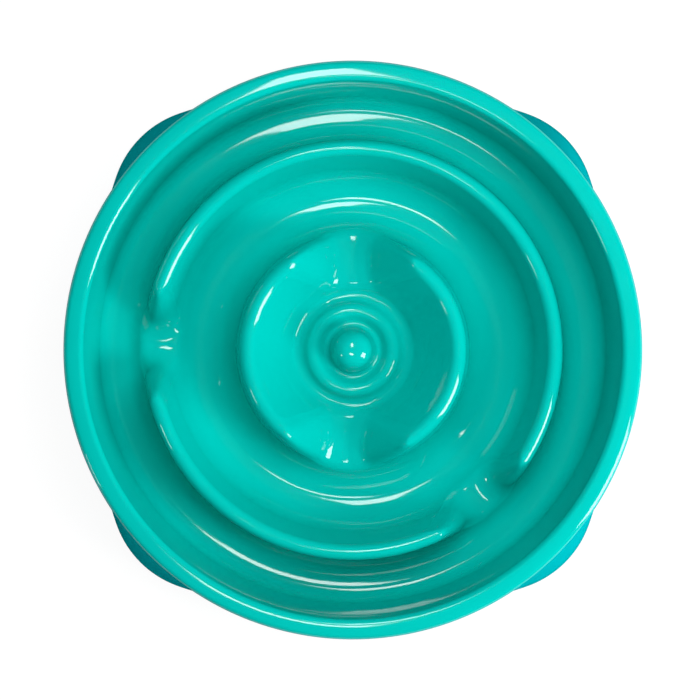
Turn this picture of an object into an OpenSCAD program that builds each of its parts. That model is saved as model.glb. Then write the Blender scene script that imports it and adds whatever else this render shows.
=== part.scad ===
// Slow feeder bowl: one moulded shell with two broken ring ridges and a knob in the middle,
// standing on four rubber feet under the lobes of its skirt.
// Millimetres, +Z up. The origin is on the floor under the middle, and -Y is the front.

/* [Rim and skirt] */
// Distance from the middle ring's crest line out to the rim's outer edge
rim_step = 42.1; // [40:0.1:47]
// Height of the rim above the floor
rim_z = 64; // [58:0.5:72]
// Width of the rim from the trough wall to the skirt
rim_w = 10; // [9.4:0.1:12]
// Radius of the rim's rounding
rim_round = 4.6; // [3.5:0.1:5.4]
// Thickness of the shell
wall = 3; // [2:0.1:3.4]
// Lean of the skirt, wider towards the floor, in degrees
skirt_draft = 1.8; // [1:0.1:3]
// Gap between the skirt's lower edge and the floor
skirt_gap = 2; // [1.5:0.1:3.5]

/* [Skirt lobes] */
// Directions of the four lobes, in degrees from the right-hand side
lobe_turn = 45; // [40:1:50]
// How far a lobe stands out past the rim's edge at the skirt's lower edge
lobe_reach = 10.2; // [8:0.1:12]
// Radius of a lobe's arc at the skirt's lower edge
lobe_foot_r = 51.5; // [49:0.1:54]
// What the arc's radius loses up to where the lobe runs out
lobe_taper = 11.5; // [10.5:0.1:15]
// Height above the floor at which a lobe runs out
lobe_z = 50; // [42:1:54]

/* [Troughs] */
// Height of the trough floors above the floor
trough_z = 9; // [8:0.1:12]
// Lean of the outer trough's outer wall, in degrees
outer_wall_draft = 5.8; // [4:0.1:7]
// Rounding at the foot of the outer trough's outer wall
outer_foot_round = 8; // [6:0.1:9]

/* [Middle ring] */
// Distance from the inner ring's crest line out to this one's
ring_step = 47.7; // [45:0.1:52]
// Height of the crest above the floor
mid_ring_z = 50; // [44:0.5:56]
// Width of the crest
mid_crest_w = 6.8; // [6.6:0.1:9]
// Rounding of the crest's edges
mid_crest_round = 3.8; // [3:0.1:4.6]
// Lean of the outer face, in degrees
mid_out_draft = 3.5; // [2:0.1:5]
// Rounding at the foot of the outer face
mid_out_round = 11; // [8:0.1:12]
// Lean of the inner face, in degrees
mid_in_draft = 11.7; // [8:0.1:14]
// Rounding at the foot of the inner face
mid_in_round = 15; // [8:0.1:16]

/* [Inner ring] */
// Radius of the ring's crest line
inner_ring_r = 53.2; // [51:0.1:55]
// Height of the crest above the floor
inner_ring_z = 46; // [42:0.5:52]
// Width of the crest
inner_crest_w = 6; // [5.6:0.1:8]
// Rounding of the crest's edges
inner_crest_round = 4; // [3:0.1:4.6]
// Lean of the outer face, in degrees
inner_out_draft = 7; // [4:0.1:9]
// Rounding at the foot of the outer face
inner_out_round = 13.5; // [8:0.1:14.5]

/* [Basin and knob] */
// Radius of the basin's lowest circle
basin_r = 27.5; // [26.5:0.1:29]
// Height of the basin's lowest corner, before rounding
basin_z = 13.5; // [12.5:0.1:15]
// Rounding of the basin's lowest circle
basin_round = 4.5; // [3:0.1:5]
// Radius of the low ring's crest round the knob
low_ring_r = 20.3; // [19.5:0.1:21]
// Height of the low ring's crest, before rounding
low_ring_z = 24; // [23:0.1:25]
// Rounding of the low ring's crest
low_ring_round = 4; // [3.2:0.1:5]
// Radius of the dip at the foot of the knob
dip_r = 12.6; // [12:0.1:13.2]
// Height of the dip's corner, before rounding
dip_z = 16; // [15:0.1:17]
// Rounding of the dip
dip_round = 3; // [2:0.1:3.5]
// Radius of the knob near its top
knob_r = 8.2; // [7.6:0.1:9]
// Height of the knob above the floor
knob_z = 36; // [32:0.5:42]
// Rounding of the knob's top
knob_round = 7.4; // [6:0.1:7.5]

/* [Gaps in the rings] */
// Direction of the middle ring's left gap, in degrees
mid_gap_turn_a = 178; // [170:1:190]
// Direction of the middle ring's right gap, in degrees
mid_gap_turn_b = 311; // [300:1:325]
// Height of the sill in the middle ring's gaps
mid_sill_z = 15; // [13:0.1:18]
// Distance between the ring's ends over a gap, at the crest
mid_mouth_w = 50; // [42:0.5:56]
// Direction of the inner ring's back gap, in degrees
inner_gap_turn_a = 90; // [80:1:100]
// Direction of the inner ring's front gap, in degrees
inner_gap_turn_b = 266; // [256:1:276]
// Height of the sill in the inner ring's gaps
inner_sill_z = 19.5; // [18:0.1:22]
// Distance between the ring's ends over a gap, at the crest
inner_mouth_w = 58; // [50:0.5:62]
// Width of the flat sill in every gap
sill_w = 16.5; // [12:0.5:20]
// Rounding at both sides of the sill
sill_round = 6; // [3:0.1:8]
// Rounding where a ramp meets the crest
ramp_round = 9; // [5:0.1:12]

/* [Feet] */
// Distance from the lobe's outermost edge in to the middle of a foot
foot_inset = 16.2; // [15.2:0.1:18]
// Diameter of a rubber foot
foot_d = 24; // [20:0.5:26]
// Diameter of a foot's stud
stud_d = 7; // [5:0.1:8]
// Length of a foot's stud
stud_h = 10; // [6:0.5:14]
// Air round the stud and over its end
stud_gap = 0.2; // [0.1:0.05:0.4]
// Diameter of the moulded post that takes the stud
post_d = 15; // [13:0.5:16]
// Height of the post above the skirt's lower edge
post_h = 26; // [20:0.5:30]
// Bevel round a foot's lower edge
foot_bevel = 0.8; // [0.4:0.1:1.2]

/* [Hidden] */
$fn = 96;
// Overrun of a cut past the face it leaves
cut_past = 1;
// Largest turn between two points of an arc, in degrees
arc_turn = 15;
// Rise of a gap's lips away from the crest, in degrees
lip_turn = 12;
// Share of the room along a line that two arcs may fill
arc_share = 0.98;
// Shortest length that a rounding is divided by
least_length = 0.001;
mid_ring_r = inner_ring_r + ring_step;
rim_r = mid_ring_r + rim_step;
lobe_place_r = rim_r + lobe_reach - lobe_foot_r;
lobe_top_r = lobe_foot_r - lobe_taper;
foot_place_r = rim_r + lobe_reach - foot_inset;

// A corner is a point and the radius of its rounding
function unit(a, b) = (b - a) / norm(b - a);
function right_of(v) = [v[1], -v[0]];
function turn_at(a, b, c) = acos(max(-1, min(1, unit(a, b) * unit(b, c))));
function side_at(a, b, c) = sign(cross(b - a, c - b));
function arc_reach(a, b, c, r) = r * tan(turn_at(a, b, c) / 2);

// The same line moved to its right-hand side, with its roundings kept concentric
function moved(path, d) = let (n = len(path) - 1)
    [for (i = [0:n])
        let (b = path[i][0],
             u = right_of(i > 0 ? unit(path[i - 1][0], b) : unit(b, path[1][0])),
             v = right_of(i < n ? unit(b, path[i + 1][0]) : unit(path[n - 1][0], b)),
             s = i > 0 && i < n ? side_at(path[i - 1][0], b, path[i + 1][0]) : 0)
        [b + d * (u + v) / (1 + u * v), max(0, path[i][1] + s * d)]];

// How far each corner's arc reaches along its two lines
function arc_reaches(path) = let (n = len(path) - 1)
    [for (i = [0:n]) i == 0 || i == n ? 0 :
        arc_reach(path[i - 1][0], path[i][0], path[i + 1][0], path[i][1])];

// The share of its radius that fits at one corner
function room_share(path, reaches, i) =
    let (before = norm(path[i][0] - path[i - 1][0]) / max(reaches[i - 1] + reaches[i], least_length),
         after = norm(path[i + 1][0] - path[i][0]) / max(reaches[i] + reaches[i + 1], least_length))
    min(1, arc_share * before, arc_share * after);

// The points of one rounded corner
function corner_points(a, b, c, r) =
    let (t = turn_at(a, b, c), u = unit(a, b), s = side_at(a, b, c), steps = ceil(t / arc_turn))
    r <= 0 || t < 1 ? [b] :
    [for (k = [0:steps]) let (w = t * k / steps)
        b - arc_reach(a, b, c, r) * u + r * (sin(w) * u - s * (1 - cos(w)) * right_of(u))];

// The points of a line of corners
function rounded(path) = let (n = len(path) - 1, reaches = arc_reaches(path))
    [for (i = [0:n]) each
        i == 0 || i == n ? [path[i][0]] :
        corner_points(path[i - 1][0], path[i][0], path[i + 1][0],
            path[i][1] * room_share(path, reaches, i))];

// Upper surface of the shell from the knob's top out over the rim to the skirt's lower edge
function lean(draft, height) = tan(draft) * height;
mid_crest_in = mid_ring_r - mid_crest_w / 2;
mid_crest_out = mid_ring_r + mid_crest_w / 2;
inner_crest_in = inner_ring_r - inner_crest_w / 2;
inner_crest_out = inner_ring_r + inner_crest_w / 2;
surface = [
    [[0, knob_z], 0],
    [[knob_r, knob_z], knob_round],
    [[dip_r, dip_z], dip_round],
    [[low_ring_r, low_ring_z], low_ring_round],
    [[basin_r, basin_z], basin_round],
    [[inner_crest_in, inner_ring_z], inner_crest_round],
    [[inner_crest_out, inner_ring_z], inner_crest_round],
    [[inner_crest_out + lean(inner_out_draft, inner_ring_z - trough_z), trough_z], inner_out_round],
    [[mid_crest_in - lean(mid_in_draft, mid_ring_z - trough_z), trough_z], mid_in_round],
    [[mid_crest_in, mid_ring_z], mid_crest_round],
    [[mid_crest_out, mid_ring_z], mid_crest_round],
    [[mid_crest_out + lean(mid_out_draft, mid_ring_z - trough_z), trough_z], mid_out_round],
    [[rim_r - rim_w - lean(outer_wall_draft, rim_z - trough_z), trough_z], outer_foot_round],
    [[rim_r - rim_w, rim_z], rim_round],
    [[rim_r, rim_z], rim_round],
    [[rim_r + lean(skirt_draft, rim_z - skirt_gap), skirt_gap], 0]];

// One gap across a ring, seen along the radius: lips, ramps and sill
function gap_line(mouth, crest, sill) = [
    [[-mouth, crest + lean(lip_turn, mouth / 2)], 0],
    [[-mouth / 2, crest], ramp_round],
    [[-sill_w / 2, sill], sill_round],
    [[sill_w / 2, sill], sill_round],
    [[mouth / 2, crest], ramp_round],
    [[mouth, crest + lean(lip_turn, mouth / 2)], 0]];

// Body of revolution under the upper surface, taken in by a thickness
module revolved(take_in) {
    line = rounded(moved(surface, take_in));
    top = line[0];
    end = line[len(line) - 1];
    low_z = take_in > 0 ? skirt_gap - cut_past : skirt_gap;
    rotate_extrude()
        polygon(concat([[0, low_z], [0, top[1]]], [for (i = [1:len(line) - 2]) line[i]],
            [[end[0] + lean(skirt_draft, skirt_gap - low_z), low_z]]));
}

// Tool that opens one gap, between two radii
module gap_cut(turn, mouth, crest, sill, from_r, to_r, take_in) {
    points = rounded(moved(gap_line(mouth, crest, sill), take_in));
    rotate(turn)
        translate([from_r, 0, 0])
            rotate([90, 0, 90])
                linear_extrude(height = to_r - from_r)
                    polygon(concat(points, [[mouth, crest + mouth], [-mouth, crest + mouth]]));
}

// All four gaps
mid_trough_r = (mid_crest_in + inner_crest_out) / 2;
outer_trough_r = (mid_crest_out + rim_r - rim_w) / 2;
basin_start_r = (low_ring_r + basin_r) / 2;
module gap_cuts(take_in) {
    for (turn = [mid_gap_turn_a, mid_gap_turn_b])
        gap_cut(turn, mid_mouth_w, mid_ring_z, mid_sill_z, mid_trough_r, outer_trough_r, take_in);
    for (turn = [inner_gap_turn_a, inner_gap_turn_b])
        gap_cut(turn, inner_mouth_w, inner_ring_z, inner_sill_z, basin_start_r, mid_trough_r, take_in);
}

// Directions of the lobes, and of the feet under them
lobe_turns = [lobe_turn, 180 - lobe_turn, 180 + lobe_turn, -lobe_turn];

// Lobes of the skirt, each the outer part of a cone that runs out below the rim
module lobes(take_in) {
    slope = (lobe_foot_r - lobe_top_r) / (lobe_z - skirt_gap);
    below = take_in > 0 ? cut_past : 0;
    difference() {
        for (turn = lobe_turns)
            rotate(turn)
                translate([lobe_place_r, 0, skirt_gap - below])
                    cylinder(h = lobe_z - skirt_gap + below,
                        r1 = lobe_foot_r + slope * below - take_in, r2 = lobe_top_r - take_in);
        translate([0, 0, -cut_past])
            cylinder(h = rim_z, r = rim_r - rim_w / 2);
    }
}

// Whole outer shape, taken in by a thickness
module form(take_in) {
    difference() {
        revolved(take_in);
        gap_cuts(take_in);
    }
    lobes(take_in);
}

// Moulded posts over the feet
module posts() {
    for (turn = lobe_turns)
        rotate(turn)
            translate([foot_place_r, 0, skirt_gap])
                cylinder(h = post_h, d = post_d);
}

// Blind bores in the posts
module stud_bores() {
    for (turn = lobe_turns)
        rotate(turn)
            translate([foot_place_r, 0, skirt_gap - cut_past])
                cylinder(h = stud_h + stud_gap + cut_past, d = stud_d + 2 * stud_gap);
}

// The moulded shell
module bowl_shell() {
    color("#0BC4B4")
        difference() {
            form(0);
            difference() {
                form(wall);
                posts();
            }
            stud_bores();
        }
}

// One rubber foot: a bevelled disc with a stud that is pushed into its post
module foot(turn) {
    color("#33383A")
        rotate(turn)
            translate([foot_place_r, 0, 0]) {
                cylinder(h = foot_bevel, d1 = foot_d - 2 * foot_bevel, d2 = foot_d);
                translate([0, 0, foot_bevel])
                    cylinder(h = skirt_gap - foot_bevel, d = foot_d);
                cylinder(h = skirt_gap + stud_h, d = stud_d);
            }
}
module foot_back_right() { foot(lobe_turns[0]); }
module foot_back_left() { foot(lobe_turns[1]); }
module foot_front_left() { foot(lobe_turns[2]); }
module foot_front_right() { foot(lobe_turns[3]); }

bowl_shell();
foot_back_right();
foot_back_left();
foot_front_left();
foot_front_right();
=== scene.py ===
# %% [markdown]
# # A slow feeder bowl
# The real thing is one glossy moulded plastic shell: a round bowl with two broken ring ridges and a
# knob inside, a skirt with four lobes outside, and a rubber foot under each lobe.
# This script dresses the CAD model of it. The CAD model comes in first and stays where it is, as the
# frame that every new piece is fitted to.

# %% Load the frame
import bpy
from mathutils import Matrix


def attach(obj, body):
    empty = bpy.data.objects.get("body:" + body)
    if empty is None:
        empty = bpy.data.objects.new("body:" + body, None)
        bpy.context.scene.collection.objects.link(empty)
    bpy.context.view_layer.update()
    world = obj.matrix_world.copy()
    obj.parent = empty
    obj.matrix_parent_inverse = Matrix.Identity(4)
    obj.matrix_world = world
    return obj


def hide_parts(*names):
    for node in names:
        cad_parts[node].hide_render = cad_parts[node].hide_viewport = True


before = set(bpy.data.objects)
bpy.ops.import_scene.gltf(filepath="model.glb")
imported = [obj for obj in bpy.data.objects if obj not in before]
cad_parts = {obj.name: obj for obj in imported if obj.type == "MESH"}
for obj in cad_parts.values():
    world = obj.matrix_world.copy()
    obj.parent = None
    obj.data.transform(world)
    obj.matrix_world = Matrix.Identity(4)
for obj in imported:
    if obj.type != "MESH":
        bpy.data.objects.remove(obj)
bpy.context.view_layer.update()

# %% [markdown]
# ## Working habits
# Blender counts in metres and the bowl is thought of in millimetres, so one factor turns one into the
# other: a length without MM is in millimetres, and the camera, the floor and the lamps, which aren't
# part of the bowl, are in metres. An operator acts on everything that is selected, and the frame comes
# in selected, so nothing is left selected before a new piece is begun.

# %% Helpers for selection and counting
import bisect
import math

import bpy
from mathutils import Vector

MM = 0.001


def select_only(*pieces):
    """Selects these objects and nothing else, and makes the first of them active."""
    bpy.ops.object.select_all(action="DESELECT")
    for piece in pieces:
        piece.select_set(True)
    bpy.context.view_layer.objects.active = pieces[0]


def triangles(piece):
    """How many triangles a piece has."""
    return sum(len(face.vertices) - 2 for face in piece.data.polygons)


bpy.ops.object.select_all(action="DESELECT")
print("selected before the first piece:", len(bpy.context.selected_objects))

# %% [markdown]
# ## Camera
# The photograph looks straight down on the bowl from about two metres. A camera that isn't turned looks
# down too, so it only has to be lifted. The lens follows from how wide the picture is at the height of
# the rim, and the camera stands a touch to the left, because the bowl isn't quite in the middle of the
# picture.

# %% Camera straight above the bowl
CAMERA_HEIGHT = 2.0
CAMERA_LEFT = 0.0014
RIM_HEIGHT = 0.064
PICTURE_WIDTH = 0.3456
SENSOR_WIDTH = 36.0      # the sensor and the lens are in millimetres, as on a real camera

bpy.ops.object.camera_add(location=(-CAMERA_LEFT, 0, CAMERA_HEIGHT), rotation=(0, 0, 0))
camera = bpy.context.object
camera.name = "camera"
camera.data.sensor_width = SENSOR_WIDTH
camera.data.lens = SENSOR_WIDTH * (CAMERA_HEIGHT - RIM_HEIGHT) / PICTURE_WIDTH
bpy.context.scene.camera = camera
print("lens in mm:", round(camera.data.lens, 1))

# %% [markdown]
# ## The line that the shell is turned from
# A moulded round shell is easiest to think of as one line from the middle of the knob out over the
# rim to the skirt, turned once round. The line is a list of corners, and each corner has a rounding,
# because a mould has no sharp edges and the light on those roundings is most of what is seen. The rim,
# for one, has a small rounding at its inner edge, falls gently outwards, and turns down into the skirt.
# Each corner is: distance from the middle, height, rounding, steps round the corner, steps to the next.

# %% Corners of the line, in millimetres
KNOB = [(0, 36.2, 0, 1, 1), (8.6, 35.7, 7.2, 9, 1), (12.4, 14.6, 2.0, 6, 1)]
LOW_RING = [(20.5, 24.6, 4.2, 7, 1), (27.6, 12.8, 4.2, 7, 1)]
INNER_RING = [(50.2, 46, 4, 6, 8), (56.2, 46, 4, 8, 1)]
MIDDLE_TROUGH = [(60.7, 9, 16.5, 9, 1), (89, 9, 16.8, 9, 1)]
MIDDLE_RING = [(97.5, 50, 3.8, 8, 8), (104.3, 50, 3.8, 9, 1)]
OUTER_TROUGH = [(106.8, 9.4, 10.5, 8, 2), (127.4, 8.8, 7.5, 8, 1)]
RIM = [(133.4, 63.95, 2.7, 7, 1), (138.6, 63.9, 36, 4, 1), (143.05, 63.25, 3.3, 6, 8)]
SKIRT_EDGE = [(144.95, 2, 0.8, 2, 1)]
whole_rings = (KNOB + LOW_RING + INNER_RING + MIDDLE_TROUGH + MIDDLE_RING + OUTER_TROUGH + RIM
               + SKIRT_EDGE)
print("corners:", len(whole_rings))

# %% [markdown]
# ## Lowered rings
# Each ring is broken by two gaps, and over a gap its top comes down to a low sill. So the line is
# needed again for other heights of the top. The roundings in the troughs beside the ring stay on their
# circles, so that a trough keeps its shape as it passes a gap, and a low wall uses only as much of
# each circle as it needs before the top's own rounding begins. That rounding grows on the way down,
# because the floor of a gap is rounder than the ridge.

# %% Let the top of a ring down
SHOULDER_ROUND = 7.5
EXAMPLE_HEIGHT = 15


def let_down(corners, ring, height):
    """The same line with the top of one ring at a lower height."""
    first = corners.index(ring[0])
    lowered = list(corners)
    for top, foot, side in ((first, first - 1, 1), (first + 1, first + 2, -1)):
        # the ring's inner wall, with its foot before it on the line, and then its outer wall
        distance, crest, shoulder, around, along = corners[top]
        place, rounding = Vector(corners[foot][:2]), corners[foot][2]
        before = Vector(corners[foot - side][:2])
        shoulder += (SHOULDER_ROUND - shoulder) * (crest - height) / (crest - place.y)
        floor = math.atan2(place.y - before.y, side * (place.x - before.x))
        wall = math.atan2(crest - place.y, side * (distance - place.x))
        ahead = Vector((side * math.cos(floor), math.sin(floor)))
        # the trough's circle starts at the same point of its floor as before
        start = place - rounding * math.tan((wall - floor) / 2) * ahead
        centre = start.y + rounding * math.cos(floor)
        # the wall is as steep as before, or only as steep as where this circle meets the top's own
        rise = min(wall, math.acos(max(-1, (centre + shoulder - height) / (rounding + shoulder))))
        place = start + rounding * math.tan((rise - floor) / 2) * ahead
        lowered[foot] = (place.x, place.y) + corners[foot][2:]
        lowered[top] = (place.x + side * (height - place.y) / math.tan(rise), height, shoulder,
                        around, along)
    return lowered


top = whole_rings.index(MIDDLE_RING[0])
print("edges of the middle ring's top, let down to", EXAMPLE_HEIGHT, "mm:", [
    round(corner[0], 1) for corner in let_down(whole_rings, MIDDLE_RING, EXAMPLE_HEIGHT)[top:top + 2]])

# %% [markdown]
# ## The underside
# The wall is three millimetres thick everywhere, so the underside is the same line moved in by that
# much. An outer rounding gets smaller and an inner one larger, as in a real mould. Few people look at
# it closely, so its roundings have fewer steps. At the skirt's foot it ends level with the outside, and
# the two together make one closed line.

# %% Move a line in by the wall, and close it
WALL = 3.0
UNDERSIDE_STEPS = 3
UNDERSIDE_TOP_STEPS = 2
LEAST_ROUND = 0.4


def turn_side(before, here, after):
    """The way a line turns at a corner: 1 to the left, -1 to the right."""
    return math.copysign(1, (here - before).cross(after - here))


def moved_in(corners, wall):
    """The same corners moved to the right-hand side of the line, with concentric roundings."""
    points = [Vector(corner[:2]) for corner in corners]
    last = len(points) - 1
    result = []
    for i, (distance, _, rounding, around, along) in enumerate(corners):
        # at an end of the line its one segment stands for both, the one before and the one after
        before = (points[max(i, 1)] - points[max(i, 1) - 1]).normalized()
        after = (points[min(i, last - 1) + 1] - points[min(i, last - 1)]).normalized()
        shift = Vector((before.y + after.y, -before.x - after.x)) / (1 + before.dot(after))
        place = points[i] + wall * shift
        if 0 < i < last:
            rounding = max(rounding + wall * turn_side(*points[i - 1:i + 2]), LEAST_ROUND)
        result.append((place.x if distance else 0, place.y, rounding, min(around, UNDERSIDE_STEPS),
                       along))
    return result


def closed(corners):
    """Outside and underside as one line, from the knob's top round to the hollow under it."""
    underside = moved_in(corners, WALL)
    edge = corners[-1]
    # the way back starts at the skirt's own foot, and then takes the other corners in reverse
    back = [(underside[-1][0], edge[1], edge[2], edge[3], corners[-2][4])]
    for i in range(len(corners) - 2, -1, -1):
        back.append(underside[i][:4] + (min(corners[max(i - 1, 0)][4], UNDERSIDE_TOP_STEPS),))
    return corners + back


print("corners of the closed line:", len(closed(whole_rings)))

# %% [markdown]
# ## Rounding
# A rounding is an arc that touches both lines at a corner, cut into short straight steps. Where two
# arcs would meet on a short line, both give way a little. The number of steps is fixed, so that the
# whole line and the lowered lines have the same number of points, one for one.

# %% Points of a rounded line, in metres
ARC_ROOM = 0.98


def rounded(corners):
    """The points of a line, with every corner rounded in its own number of steps."""
    points = [Vector(corner[:2]) for corner in corners]
    last = len(points) - 1
    # how much the line turns at a corner, and how far along both its lines the arc reaches
    turns, reaches = [0.0] * (last + 1), [0.0] * (last + 1)
    for i in range(1, last):
        turns[i] = (points[i] - points[i - 1]).angle(points[i + 1] - points[i])
        reaches[i] = corners[i][2] * math.tan(turns[i] / 2)
    line = []
    for i, (_, _, rounding, around, along) in enumerate(corners):
        arc = [points[i]]
        if 0 < i < last:
            # less than 1 where this arc and the next one need more than the line between them
            fit = min(1, *(ARC_ROOM * (points[i] - points[k]).length / (reaches[i] + reaches[k])
                           for k in (i - 1, i + 1)))
            ahead = (points[i] - points[i - 1]).normalized()
            aside = Vector((-ahead.y, ahead.x)) * turn_side(*points[i - 1:i + 2])
            arc = [points[i] - fit * reaches[i] * ahead + fit * rounding * (
                math.sin(turns[i] * k / around) * ahead
                + (1 - math.cos(turns[i] * k / around)) * aside) for k in range(around + 1)]
        if line:
            steps = corners[i - 1][4]
            line += [line[-1].lerp(arc[0], k / steps) for k in range(1, steps)]
        line += arc
    return [point * MM for point in line]


outside_count = len(rounded(whole_rings))
print("points on the closed line:", len(rounded(closed(whole_rings))), "outside:", outside_count)

# %% [markdown]
# ## Draw the line
# The line is drawn in edit mode as by hand, one extruded point after another, from a plane that was
# merged to a point. Each point then gets a note to carry: its place in the line. A note is an
# attribute, and an operator that copies a point copies its note with it, so it is still there after
# the spin and tells which point of the line a point of the shell came from.

# %% Draw a line by extruding, and number its points
def drawn(name, line):
    """A new object whose mesh is one open line of points in the plane of X and Z."""
    bpy.ops.object.select_all(action="DESELECT")
    bpy.ops.mesh.primitive_plane_add(size=MM, location=(0, 0, 0))
    piece = bpy.context.object
    piece.name = piece.data.name = name
    bpy.ops.object.mode_set(mode="EDIT")
    bpy.ops.mesh.merge(type="CENTER")
    bpy.ops.transform.translate(value=(line[0].x, 0, line[0].y))
    for here, there in zip(line, line[1:]):
        bpy.ops.mesh.extrude_region_move(
            TRANSFORM_OT_translate={"value": (there.x - here.x, 0, there.y - here.y)})
    bpy.ops.object.mode_set(mode="OBJECT")
    return piece


whole_line = rounded(closed(whole_rings))
shell_line = drawn("shell_line", whole_line)
note = shell_line.data.attributes.new("line_point", "FLOAT", "POINT")
note.data.foreach_set("value", list(range(len(whole_line))))
print("line drawn with", len(shell_line.data.vertices), "points")

# %% [markdown]
# ## Spin
# The line is spun about the bowl's axis in ten parts, because one long spin is slow, and because the
# parts in which a gap breaks the middle ring have steps half as wide, so that the ring's ends come out
# smooth. The parts are joined, and the points that fall together, between the parts and on the axis,
# are merged. Then the faces are made to point outwards.
# All turns are in degrees, anticlockwise from the photograph's right. A gap is the turn of its middle,
# and a part is the turns that it starts and ends at, and its step.

# %% Turn the line once round
MIDDLE_GAPS = (178, 311)
INNER_GAPS = (90, 266)
PARTS = [(0, 52, 1.0), (52, 104, 1.0), (104, 157, 1.0), (157, 178, 0.5), (178, 199, 0.5),
         (199, 244, 1.0), (244, 290, 1.0), (290, 311, 0.5), (311, 332, 0.5), (332, 360, 1.0)]
MERGE_DISTANCE = 0.002 * MM


def merge_points(piece):
    """Merges the points of a piece that fall together, which takes collapsed faces out with them."""
    select_only(piece)
    bpy.ops.object.mode_set(mode="EDIT")
    bpy.ops.mesh.select_all(action="SELECT")
    bpy.ops.mesh.remove_doubles(threshold=MERGE_DISTANCE)
    bpy.ops.object.mode_set(mode="OBJECT")


def spun(line, parts):
    """Turns a drawn line round the axis in parts, joins them and makes the faces point outwards."""
    turned = []
    for start, end, step in parts:
        select_only(line)
        bpy.ops.object.duplicate()
        part = bpy.context.object
        part.rotation_euler.z = math.radians(start)
        bpy.ops.object.transform_apply(rotation=True)
        bpy.ops.object.mode_set(mode="EDIT")
        bpy.ops.mesh.select_all(action="SELECT")
        bpy.ops.mesh.spin(steps=round((end - start) / step), angle=math.radians(end - start),
                          center=(0, 0, 0), axis=(0, 0, -1))
        bpy.ops.object.mode_set(mode="OBJECT")
        turned.append(part)
    select_only(*turned)
    bpy.ops.object.join()
    merge_points(turned[0])
    bpy.ops.object.mode_set(mode="EDIT")
    bpy.ops.mesh.select_all(action="SELECT")
    bpy.ops.mesh.normals_make_consistent(inside=False)
    bpy.ops.object.mode_set(mode="OBJECT")
    bpy.ops.object.shade_smooth()
    return turned[0]


shell = spun(shell_line, PARTS)
shell.name = shell.data.name = "moulded_shell"
bpy.data.objects.remove(shell_line)
print(shell.name, len(shell.data.vertices), "points,", triangles(shell), "triangles")

# %% [markdown]
# ## Gaps in the rings
# Over a gap the ring goes down by a share: none of it beside the gap, all of it over the sill, and part
# of it on the ramps. The ramp is a line of its own, with its roundings, seen from the side, and it
# gives the share from the distance along the ring. The inner ring's sills fall a little towards their
# middle. Past the ridge's height the line goes on rising a little and is cut off there, so that the
# ridge ends at a definite edge. The underside has its own ramp line, moved in by the wall.
# Each corner is: distance from the middle of the gap, height, rounding.

# %% The ramps, from the middle of a gap outwards
LIP_RISE = math.tan(math.radians(12))
RAMP_STEPS = 12
MIDDLE_RAMP = [(0, 15, 0), (8.25, 15, 12.4), (25, 50, 9), (50, 50 + LIP_RISE * 25, 0)]
INNER_RAMP = [(0, 18.6, 0), (0.9, 18.6, 4), (8.25, 20.2, 8), (29, 46, 9), (58, 46 + LIP_RISE * 29, 0)]


def ramp_line(ramp, wall):
    """Points of a ramp's line in millimetres, moved in by a wall."""
    corners = [corner + (RAMP_STEPS, 1) for corner in ramp]
    if wall:
        corners = [corner[:3] + (RAMP_STEPS, 1) for corner in moved_in(corners, wall)]
    return [point / MM for point in rounded(corners)]


def share_down(along, line, crest, sill):
    """How far down the ring is at a distance along it, from 0 on the crest to 1 on the sill."""
    i = min(max(bisect.bisect([point.x for point in line], along), 1), len(line) - 1)
    before, after = line[i - 1], line[i]
    part = min(1, max(0, (along - before.x) / (after.x - before.x)))
    height = before.y + part * (after.y - before.y)
    return min(1, max(0, (crest - height) / (crest - sill)))


for ramp in (MIDDLE_RAMP, INNER_RAMP):
    line, crest, sill = ramp_line(ramp, 0), ramp[-2][1], ramp[0][1]
    half = next(along for along in range(ramp[-1][0]) if share_down(along, line, crest, sill) < 0.5)
    print("half of the way down at", half, "mm from the middle of the gap")

# %% [markdown]
# A ridge doesn't end square but in a rounded nose, so across its top the ramp starts later at the
# edges than in the middle. And a point slides inwards or outwards as its wall comes down, which
# changes its distance along the ring, so its share is found in a few rounds, each starting from the
# last. The lowered lines are worked out once, for forty heights, and a point is placed between two of
# them.

# %% A place between two heights
LEVELS = 40


def between(line_points, share):
    """A point of the line for a share between two of the levels."""
    level = min(int(share * LEVELS), LEVELS - 1)
    return line_points[level].lerp(line_points[level + 1], share * LEVELS - level)


print("each level is", 1 / LEVELS, "of the way down")

# %% Let the rings down over their gaps
ROUNDS = 8
MIDDLE_NOSE = 6.0
INNER_NOSE = 4.0


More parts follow.
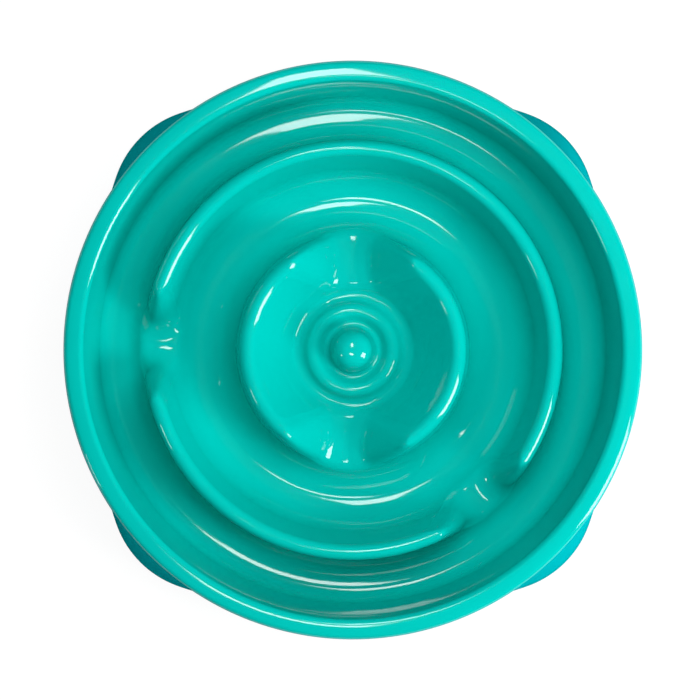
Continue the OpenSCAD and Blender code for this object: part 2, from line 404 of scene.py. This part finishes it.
def open_gaps(piece, ring, gaps, ramp, nose):
    """Lets a ring down over its gaps and tells how many points moved."""
    crest, sill = ramp[-2][1], ramp[0][1]
    first = whole_rings.index(ring[0])
    # the ring at each height: its corners, the edges of its top, and every point of the line
    stages = [let_down(whole_rings, ring, crest + (sill - crest) * level / LEVELS)
              for level in range(LEVELS + 1)]
    edges = [Vector((stage[first][0], stage[first + 1][0])) * MM for stage in stages]
    lines = list(zip(*[rounded(closed(stage)) for stage in stages]))
    # points that the ring doesn't take along, such as the rim's, are left alone
    moving = {i for i, steps in enumerate(lines) if (steps[-1] - steps[0]).length > MERGE_DISTANCE}
    slopes = {True: (ramp_line(ramp, 0), crest, sill),
              False: (ramp_line(ramp, WALL), crest - WALL, sill - WALL)}
    notes = piece.data.attributes["line_point"].data
    opened = 0
    for i, point in enumerate(piece.data.vertices):
        k = round(notes[i].value)
        if k not in moving:
            continue
        outward = Vector((point.co.x, point.co.y)).normalized()
        for gap in gaps:
            middle = Vector((math.cos(math.radians(gap)), math.sin(math.radians(gap))))
            if outward.dot(middle) < 0:
                continue
            share = 0
            for _ in range(ROUNDS):
                distance = between(lines[k], share).x
                inner, outer = between(edges, share)
                # 0 in the middle of the ridge's top, 1 at its edges
                across = min(1, abs(2 * distance - inner - outer) / (outer - inner))
                along = distance * abs(outward.cross(middle)) / MM
                share = share_down(along - nose * (1 - math.sqrt(1 - across ** 2)),
                                   *slopes[k < outside_count])
            if share > 0:
                place = between(lines[k], share)
                point.co = (outward.x * place.x, outward.y * place.x, place.y)
                opened += 1
    return opened


print("points let down:",
      open_gaps(shell, MIDDLE_RING, MIDDLE_GAPS, MIDDLE_RAMP, MIDDLE_NOSE),
      open_gaps(shell, INNER_RING, INNER_GAPS, INNER_RAMP, INNER_NOSE))

# %% [markdown]
# ## Lobes of the skirt
# At the four corners the skirt swells out into a lobe that carries a foot. A lobe is part of a cone
# that stands beside the bowl's axis and gets narrower upwards, by 11.5 mm in 48, until it runs out in
# the skirt. The skirt's points move out to it. Where the two surfaces meet the larger distance is
# taken, eased over a few millimetres, which gives the soft inside corner that the mould has. The
# underside follows, a wall's thickness further in.

# %% The surface of a lobe
LOBE_TURNS = (45, 135, 225, 315)
LOBE_PLACE = 101.7
LOBE_FOOT_RADIUS = 51.5
LOBE_TAPER = 11.5 / 48.0


def lobe_distance(angle, height):
    """How far a lobe's surface is from the bowl's axis in one direction, in millimetres."""
    radius = LOBE_FOOT_RADIUS - LOBE_TAPER * (height - SKIRT_EDGE[0][1])
    found = 0
    for turn in LOBE_TURNS:
        away = angle - math.radians(turn)
        across = LOBE_PLACE * math.sin(away)
        if math.cos(away) > 0 and abs(across) < radius:
            found = max(found, LOBE_PLACE * math.cos(away) + math.sqrt(radius ** 2 - across ** 2))
    return found


print("a lobe reaches", LOBE_PLACE + LOBE_FOOT_RADIUS, "mm from the axis at its foot")

# %% Move the skirt out to the lobes
LOBE_EASE = 5.0
SKIRT_FROM = 138.0
SKIRT_TOP = RIM[-1][1] - WALL


def eased_larger(one, other, ease):
    """The larger of two lengths, with a soft change from one to the other."""
    overlap = max(ease - abs(one - other), 0) / ease
    return max(one, other) + overlap ** 2 * ease / 4


notes = shell.data.attributes["line_point"].data
moved = 0
for i, point in enumerate(shell.data.vertices):
    x, y, z = point.co / MM
    distance = math.hypot(x, y)
    if distance > SKIRT_FROM and z < SKIRT_TOP:
        lobe = lobe_distance(math.atan2(y, x), z) - WALL * (notes[i].value >= outside_count)
        out = eased_larger(distance, lobe, LOBE_EASE) / distance
        point.co = (x * MM * out, y * MM * out, z * MM)
        moved += out > 1
shell.data.attributes.remove(shell.data.attributes["line_point"])
merge_points(shell)
print("points moved out to the lobes:", moved, "triangles now:", triangles(shell))

# %% [markdown]
# ## The shell takes its place
# The shell stands for the CAD shell, which is hidden and kept for collisions. It rides on the one body
# that the bowl has, because nothing on the bowl moves.

# %% Put the shell on its body
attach(shell, "root")
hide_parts("bowl_shell")
print("shell reaches", [round(v, 4) for v in shell.dimensions])

# %% [markdown]
# ## Posts and feet
# Under each lobe a hollow post comes down inside the skirt, and the stud of a rubber foot is pushed up
# into it. Both are round, so each starts as a cylinder. The end face is inset to a smaller circle and
# pushed in for the bore, or pulled out for the stud, and a bevel modifier softens the edges at the
# end. One post and one foot are modelled at the first lobe, and the other three are turned copies.

# %% Helpers to begin a round piece and shape its ends
FOOT_PLACE = 137.0
SKIRT_FOOT = SKIRT_EDGE[0][1]
UP, DOWN = 1, -1
LEVEL_FROM = 0.9         # a face counts as level when its normal's Z is past this


def round_blank(name, radius, low, high, sides):
    """A cylinder over the first foot's place, in edit mode."""
    bpy.ops.object.select_all(action="DESELECT")
    side = FOOT_PLACE * math.sqrt(0.5) * MM
    bpy.ops.mesh.primitive_cylinder_add(vertices=sides, radius=radius * MM, depth=(high - low) * MM,
                                        location=(side, side, (low + high) / 2 * MM))
    piece = bpy.context.object
    piece.name = piece.data.name = name
    bpy.ops.object.transform_apply(location=True)
    bpy.ops.object.mode_set(mode="EDIT")
    return piece


def select_end(piece, side):
    """In edit mode, selects the level faces that look up or down."""
    bpy.ops.mesh.select_mode(type="FACE")
    bpy.ops.mesh.select_all(action="DESELECT")
    bpy.ops.object.mode_set(mode="OBJECT")
    for face in piece.data.polygons:
        face.select = side * face.normal.z > LEVEL_FROM
    bpy.ops.object.mode_set(mode="EDIT")


def inset_and_push(inset, push):
    """Insets the selected faces and moves them along Z on new walls, in millimetres."""
    if inset:
        bpy.ops.mesh.inset(thickness=inset * MM)
    if push:
        bpy.ops.mesh.extrude_region_move(TRANSFORM_OT_translate={"value": (0, 0, push * MM)})


print("feet stand", FOOT_PLACE, "mm from the axis")

# %% Helpers to finish a round piece and repeat it
BEVEL_SEGMENTS = 3
SMOOTH_BELOW = math.radians(40)
OTHER_LOBES = (("back_left", 90), ("front_left", 180), ("front_right", 270))


def soften(piece, width):
    """Bevels the sharp edges and smooths the rest."""
    bpy.ops.object.mode_set(mode="OBJECT")
    select_only(piece)
    bpy.ops.object.modifier_add(type="BEVEL")
    bevel = piece.modifiers[-1]
    bevel.width, bevel.segments, bevel.limit_method = width * MM, BEVEL_SEGMENTS, "ANGLE"
    bpy.ops.object.modifier_apply(modifier=bevel.name)
    bpy.ops.object.shade_smooth_by_angle(angle=SMOOTH_BELOW)


def turned_copy(piece, name, turn):
    """A copy with its own mesh, turned about the bowl's axis."""
    select_only(piece)
    bpy.ops.object.duplicate()
    copy = bpy.context.object
    copy.name = copy.data.name = name
    copy.rotation_euler.z = math.radians(turn)
    bpy.ops.object.transform_apply(rotation=True)
    return copy


def on_all_lobes(first, stem):
    """The piece at the first lobe, and its copies at the other three."""
    return [first] + [turned_copy(first, stem + place, turn) for place, turn in OTHER_LOBES]


print("copies of each piece:", len(OTHER_LOBES))

# %% [markdown]
# ## The posts
# A post is moulded with the shell and goes up into the lobe's hollow, where its top can't be seen. Here
# it is a round bar, with a bore that is 0.2 mm wider all round and 0.2 mm deeper than the foot's stud.

# %% Post with its bore
POST_RADIUS = 7.2
POST_TOP = 27.0
POST_SIDES = 48
POST_BEVEL = 0.4
BORE_RADIUS = 3.7
BORE_DEPTH = 10.2

post = round_blank("post_back_right", POST_RADIUS, SKIRT_FOOT, POST_TOP, POST_SIDES)
select_end(post, DOWN)
inset_and_push(POST_RADIUS - BORE_RADIUS, BORE_DEPTH)
soften(post, POST_BEVEL)
posts = on_all_lobes(post, "post_")
for post in posts:
    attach(post, "root")
print("posts:", len(posts), "of", triangles(post), "triangles")

# %% [markdown]
# ## One rubber foot
# The disc stands on a flat outer ring. Inside it a groove runs round, which lets the rubber grip, and
# the middle is hollowed by a shallow step, so that the foot can't rock on a crumb. The bevel stays under
# half the groove's depth, because two bevels that meet on a low wall leave collapsed faces.

# %% Foot with its groove and stud
FOOT_RADIUS = 12.0
GROOVE_OUT, GROOVE_IN = 9.2, 7.6
GROOVE_DEPTH = 0.6
HOLLOW_RADIUS = 5.2
STUD_RADIUS = 3.5
STUD_HEIGHT = 10.0
FOOT_SIDES = 64
FOOT_BEVEL = 0.25

foot = round_blank("rubber_foot_back_right", FOOT_RADIUS, 0, SKIRT_FOOT, FOOT_SIDES)
select_end(foot, DOWN)
inset_and_push(FOOT_RADIUS - GROOVE_OUT, 0)
inset_and_push(0, GROOVE_DEPTH)
inset_and_push(GROOVE_OUT - GROOVE_IN, -GROOVE_DEPTH)
inset_and_push(GROOVE_IN - HOLLOW_RADIUS, GROOVE_DEPTH)
select_end(foot, UP)
inset_and_push(FOOT_RADIUS - STUD_RADIUS, STUD_HEIGHT)
soften(foot, FOOT_BEVEL)
feet = on_all_lobes(foot, "rubber_foot_")
for foot in feet:
    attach(foot, "root")
    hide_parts(foot.name.replace("rubber_", ""))
print("feet:", [foot.name for foot in feet], "of", triangles(foot), "triangles")

# %% [markdown]
# ## Materials
# A colour is written as the hex value that a screen shows, and the shader wants it linear, so one
# function turns one into the other. Another adds a node with its settings and its links, and a third
# starts a material. Every pattern reads Object coordinates, which are metres, so a noise whose scale is
# one over a size has lumps of about that size.

# %% Helpers for colours and nodes
def linear(hex_colour):
    """An sRGB hex colour as the linear red, green, blue and alpha that a shader takes."""
    values = [int(hex_colour[i:i + 2], 16) / 255 for i in (1, 3, 5)]
    return (*[v / 12.92 if v <= 0.04045 else ((v + 0.055) / 1.055) ** 2.4 for v in values], 1)


def add_node(tree, kind, inputs=(), **settings):
    """Adds one node. An input is a socket to link from, or a value to set."""
    node = tree.nodes.new(kind)
    for name, value in settings.items():
        setattr(node, name, value)
    for name, value in dict(inputs).items():
        if isinstance(value, bpy.types.NodeSocket):
            tree.links.new(value, node.inputs[name])
        else:
            node.inputs[name].default_value = value
    return node


def new_material(name):
    """An empty material with its output node."""
    material = bpy.data.materials.new(name)
    material.use_nodes = True
    tree = material.node_tree
    tree.nodes.clear()
    return material, tree, add_node(tree, "ShaderNodeOutputMaterial")


print("a mid grey, #808080, is", round(linear("#808080")[0], 3), "in linear light")

# %% [markdown]
# ## Moulded plastic, polished and satin
# The shell is ABS, moulded against a polished steel mould, which gives it a mirror-like skin over an
# even body colour. Its refractive index is about 1.5. Three things keep it from looking computed: the
# skin is very slightly wavy, like the peel of an orange, because the plastic shrinks as it cools, the
# gloss differs a little from place to place, and the pigment isn't stirred in quite evenly. All are
# made from noise.
# The outside of the skirt comes from a part of the mould that isn't polished but etched, and is satin:
# it scatters the light and mirrors nothing. Its colour is a darker, bluer teal, which is painted shade:
# it stands in for the bluish shade that falls on the steep lobes. Its grain is really about a tenth of a
# millimetre, and is drawn coarser here so that it shows.

# %% One recipe for both finishes
ABS_IOR = 1.5
PIGMENT_SIZE = 45 * MM
PIGMENT_DETAIL = 3
HAZE_SIZE = 12 * MM
HAZE_DETAIL = 4
GRAIN_DETAIL = 2


def moulded(name, colours, smooth, rough, gloss, grain_size, grain_depth):
    """A moulded ABS material with a range of roughness, a gloss level and a fine skin."""
    material, tree, output = new_material(name)
    place = add_node(tree, "ShaderNodeTexCoord").outputs["Object"]
    pigment = add_node(tree, "ShaderNodeTexNoise", {
        "Vector": place, "Scale": 1 / PIGMENT_SIZE, "Detail": PIGMENT_DETAIL})
    colour = add_node(tree, "ShaderNodeMix", {"Factor": pigment.outputs["Fac"]}, data_type="RGBA")
    colour.inputs[6].default_value, colour.inputs[7].default_value = (linear(c) for c in colours)
    haze = add_node(tree, "ShaderNodeTexNoise", {
        "Vector": place, "Scale": 1 / HAZE_SIZE, "Detail": HAZE_DETAIL})
    roughness = add_node(tree, "ShaderNodeMapRange", {
        "Value": haze.outputs["Fac"], "To Min": smooth, "To Max": rough})
    grain = add_node(tree, "ShaderNodeTexNoise", {
        "Vector": place, "Scale": 1 / grain_size, "Detail": GRAIN_DETAIL})
    skin = add_node(tree, "ShaderNodeBump", {
        "Height": grain.outputs["Fac"], "Distance": grain_depth, "Strength": 1})
    shader = add_node(tree, "ShaderNodeBsdfPrincipled", {
        "Base Color": colour.outputs[2], "Roughness": roughness.outputs["Result"],
        "Normal": skin.outputs["Normal"], "IOR": ABS_IOR, "Specular IOR Level": gloss})
    tree.links.new(shader.outputs["BSDF"], output.inputs["Surface"])
    return material


print("pigment is uneven over", PIGMENT_SIZE / MM, "mm, gloss over", HAZE_SIZE / MM, "mm")

# %% The two finishes
TEAL = "#00B3A9"
TEAL_DEEP = "#00AAA0"
# painted shade: the skirt's darker, bluer teal stands in for the bluish shade on the lobes
SKIRT_TEAL_PAINTED_SHADE = "#00A3A8"
SKIRT_TEAL_PAINTED_SHADE_DEEP = "#009BA0"
POLISHED = (0.03, 0.06)  # least and most roughness
ETCHED = (0.45, 0.55)
FULL_GLOSS, NO_GLOSS = 0.5, 0.0      # specular level: 0.5 leaves the reflection as the IOR gives it
PEEL_SIZE = 5 * MM
PEEL_DEPTH = 0.0015 * MM
SATIN_GRAIN = 0.8 * MM
SATIN_DEPTH = 0.012 * MM

glossy = moulded("glossy_moulded_abs", (TEAL, TEAL_DEEP), *POLISHED, FULL_GLOSS, PEEL_SIZE, PEEL_DEPTH)
# the satin material carries the skirt's painted bluish shade in its colour
satin_painted_shade = moulded("satin_abs_painted_blue_shade", (SKIRT_TEAL_PAINTED_SHADE, SKIRT_TEAL_PAINTED_SHADE_DEEP), *ETCHED, NO_GLOSS, SATIN_GRAIN,
                SATIN_DEPTH)
print("made:", glossy.name, "and", satin_painted_shade.name)

# %% [markdown]
# ## Which face has which finish
# The satin finish, with its painted bluish shade, begins just under the rim's outer edge, where the two
# halves of the mould meet, and covers the outside of the skirt and of its lobes. A piece's faces can
# have different materials, each by its number in the piece's list.

# %% Give the plastic to the shell and the posts
# where the satin finish and its painted bluish shade go
SATIN_PAINTED_SHADE_FROM = 142.3 * MM
SATIN_PAINTED_SHADE_TOP = 62.3 * MM

shell.data.materials.clear()
for material in (glossy, satin_painted_shade):
    shell.data.materials.append(material)
for face in shell.data.polygons:
    x, y, z = face.center
    face.material_index = int(math.hypot(x, y) > SATIN_PAINTED_SHADE_FROM and z < SATIN_PAINTED_SHADE_TOP)
# the posts get the same satin, with its painted bluish shade
for piece in posts:
    piece.data.materials.clear()
    piece.data.materials.append(satin_painted_shade)
print("satin faces:", sum(face.material_index for face in shell.data.polygons))

# %% [markdown]
# ## Moulded rubber
# The feet are dark rubber from a plain mould. It is rough and gives the eye a broad dull sheen, never a
# clear highlight. Its grain is drawn at 0.6 mm, coarser than the real one, so that it shows.

# %% Rubber for the feet
RUBBER = "#33383A"
RUBBER_ROUGHNESS = 0.6
RUBBER_IOR = 1.5
RUBBER_GRAIN = 0.6 * MM
RUBBER_DEPTH = 0.02 * MM

rubber, tree, output = new_material("moulded_rubber")
place = add_node(tree, "ShaderNodeTexCoord").outputs["Object"]
grain = add_node(tree, "ShaderNodeTexNoise", {
    "Vector": place, "Scale": 1 / RUBBER_GRAIN, "Detail": GRAIN_DETAIL})
skin = add_node(tree, "ShaderNodeBump", {
    "Height": grain.outputs["Fac"], "Distance": RUBBER_DEPTH, "Strength": 1})
shader = add_node(tree, "ShaderNodeBsdfPrincipled", {
    "Base Color": linear(RUBBER), "Roughness": RUBBER_ROUGHNESS, "Normal": skin.outputs["Normal"],
    "IOR": RUBBER_IOR})
tree.links.new(shader.outputs["BSDF"], output.inputs["Surface"])
for piece in feet:
    piece.data.materials.append(rubber)
print("feet of", rubber.name + ":", len(feet))

# %% [markdown]
# ## Floor
# A sheet of white studio paper. The camera and the mirror-like plastic see it as white, and it still
# takes the bowl's shadow, because part of what they see is the paper as the lamps light it. The white
# part is a little over 1, to make up for the paper's own part, which is darker than white.

# %% Paper floor
FLOOR_SIZE = 12
PAPER = "#F4F4F4"
WHITE = "#FFFFFF"
WHITE_PART = 0.88
WHITE_STRENGTH = 1.06

bpy.ops.object.select_all(action="DESELECT")
bpy.ops.mesh.primitive_plane_add(size=FLOOR_SIZE, location=(0, 0, 0))
floor = bpy.context.object
floor.name = "paper_floor"
paper, tree, output = new_material("white_studio_paper")
ray = add_node(tree, "ShaderNodeLightPath")
seen = add_node(tree, "ShaderNodeMath", {
    0: ray.outputs["Is Camera Ray"], 1: ray.outputs["Is Glossy Ray"]}, operation="ADD")
seen = add_node(tree, "ShaderNodeMath", {
    0: seen.outputs[0], 1: ray.outputs["Is Transmission Ray"]}, operation="ADD", use_clamp=True)
seen = add_node(tree, "ShaderNodeMath", {0: seen.outputs[0], 1: WHITE_PART}, operation="MULTIPLY")
lit = add_node(tree, "ShaderNodeBsdfDiffuse", {"Color": linear(PAPER)})
white = add_node(tree, "ShaderNodeEmission", {"Color": linear(WHITE), "Strength": WHITE_STRENGTH})
mixed = add_node(tree, "ShaderNodeMixShader", {
    0: seen.outputs[0], 1: lit.outputs[0], 2: white.outputs[0]})
tree.links.new(mixed.outputs[0], output.inputs["Surface"])
floor.data.materials.append(paper)
print("floor:", FLOOR_SIZE, "metres wide")

# %% [markdown]
# ## The room
# The room is dim and slightly blue. The camera sees it as white where it looks past the floor. The
# glossy plastic sees it darker still, because a pale room mirrored in it lays a grey veil over the
# colour, and the photograph shows none.

# %% Dim room
ROOM = "#EEF4FA"
ROOM_SEEN = 1.0
ROOM_LIGHT = 0.05
ROOM_MIRRORED = 0.02

world = bpy.data.worlds.new("dim_studio")
bpy.context.scene.world = world
world.use_nodes = True
tree = world.node_tree
background = tree.nodes["Background"]
background.inputs["Color"].default_value = linear(ROOM)
ray = add_node(tree, "ShaderNodeLightPath")
seen = add_node(tree, "ShaderNodeMath", {
    0: ray.outputs["Is Camera Ray"], 1: ROOM_SEEN - ROOM_LIGHT, 2: ROOM_LIGHT}, operation="MULTIPLY_ADD")
strength = add_node(tree, "ShaderNodeMath", {
    0: ray.outputs["Is Glossy Ray"], 1: ROOM_MIRRORED - ROOM_LIGHT, 2: seen.outputs[0]},
    operation="MULTIPLY_ADD")
tree.links.new(strength.outputs[0], background.inputs["Strength"])
print("room's strength as light:", ROOM_LIGHT)

# %% [markdown]
# ## Studio light
# The highlights in the photograph say where the lamps were, because a glossy ring mirrors a lamp at the
# place where its surface faces halfway between lamp and camera. A narrow softbox hangs almost overhead,
# towards the top of the picture, and a smaller one towards the bottom. A long strip stands low at the
# right, and a small lamp low at the left. Two soft fills, a near one and a weak one, give the shading
# without a highlight of their own, so glossy rays don't see them.
# Each lamp is: turn round the bowl, angle off the zenith, distance, depth, width, level. The level says
# about how white the lamp alone would make a white sheet that faces it. The light on the sheet falls
# with the square of the distance, so the watts grow with it.

# %% Softboxes and fills
def softbox(name, azimuth, zenith, distance, deep, wide, level):
    """An area lamp that faces the bowl, with the power that its level asks for."""
    azimuth, zenith = math.radians(azimuth), math.radians(zenith)
    place = distance * Vector((math.sin(zenith) * math.cos(azimuth),
                               math.sin(zenith) * math.sin(azimuth), math.cos(zenith)))
    bpy.ops.object.light_add(type="AREA", location=place, rotation=(0, zenith, azimuth))
    lamp = bpy.context.object
    lamp.name = lamp.data.name = name
    lamp.data.shape = "RECTANGLE"
    lamp.data.size, lamp.data.size_y = deep, wide
    lamp.data.energy = level * math.pi ** 2 * distance ** 2
    print(name, "watts:", round(lamp.data.energy, 2))
    return lamp


softbox("overhead_softbox", 98, 11.5, 2.4, 0.50, 0.20, 0.07)
softbox("small_overhead_lamp", 255, 8, 2.4, 0.17, 0.26, 0.032)
softbox("key_strip", 334, 61, 1.2, 0.95, 0.38, 1.1)
softbox("left_lamp", 205, 62, 1.6, 0.22, 0.18, 0.06)
for fill in (softbox("ceiling_bounce", 50, 16, 0.8, 0.5, 0.5, 0.88),
             softbox("left_bounce", 205, 55, 1.6, 0.8, 0.8, 0.03)):
    fill.visible_glossy = False

# %% [markdown]
# ## Colours as they are written
# The Standard view shows a colour as its hex value says, where the film-like default would mute it.

# %% View
bpy.context.scene.view_settings.view_transform = "Standard"
print("view:", bpy.context.scene.view_settings.view_transform)
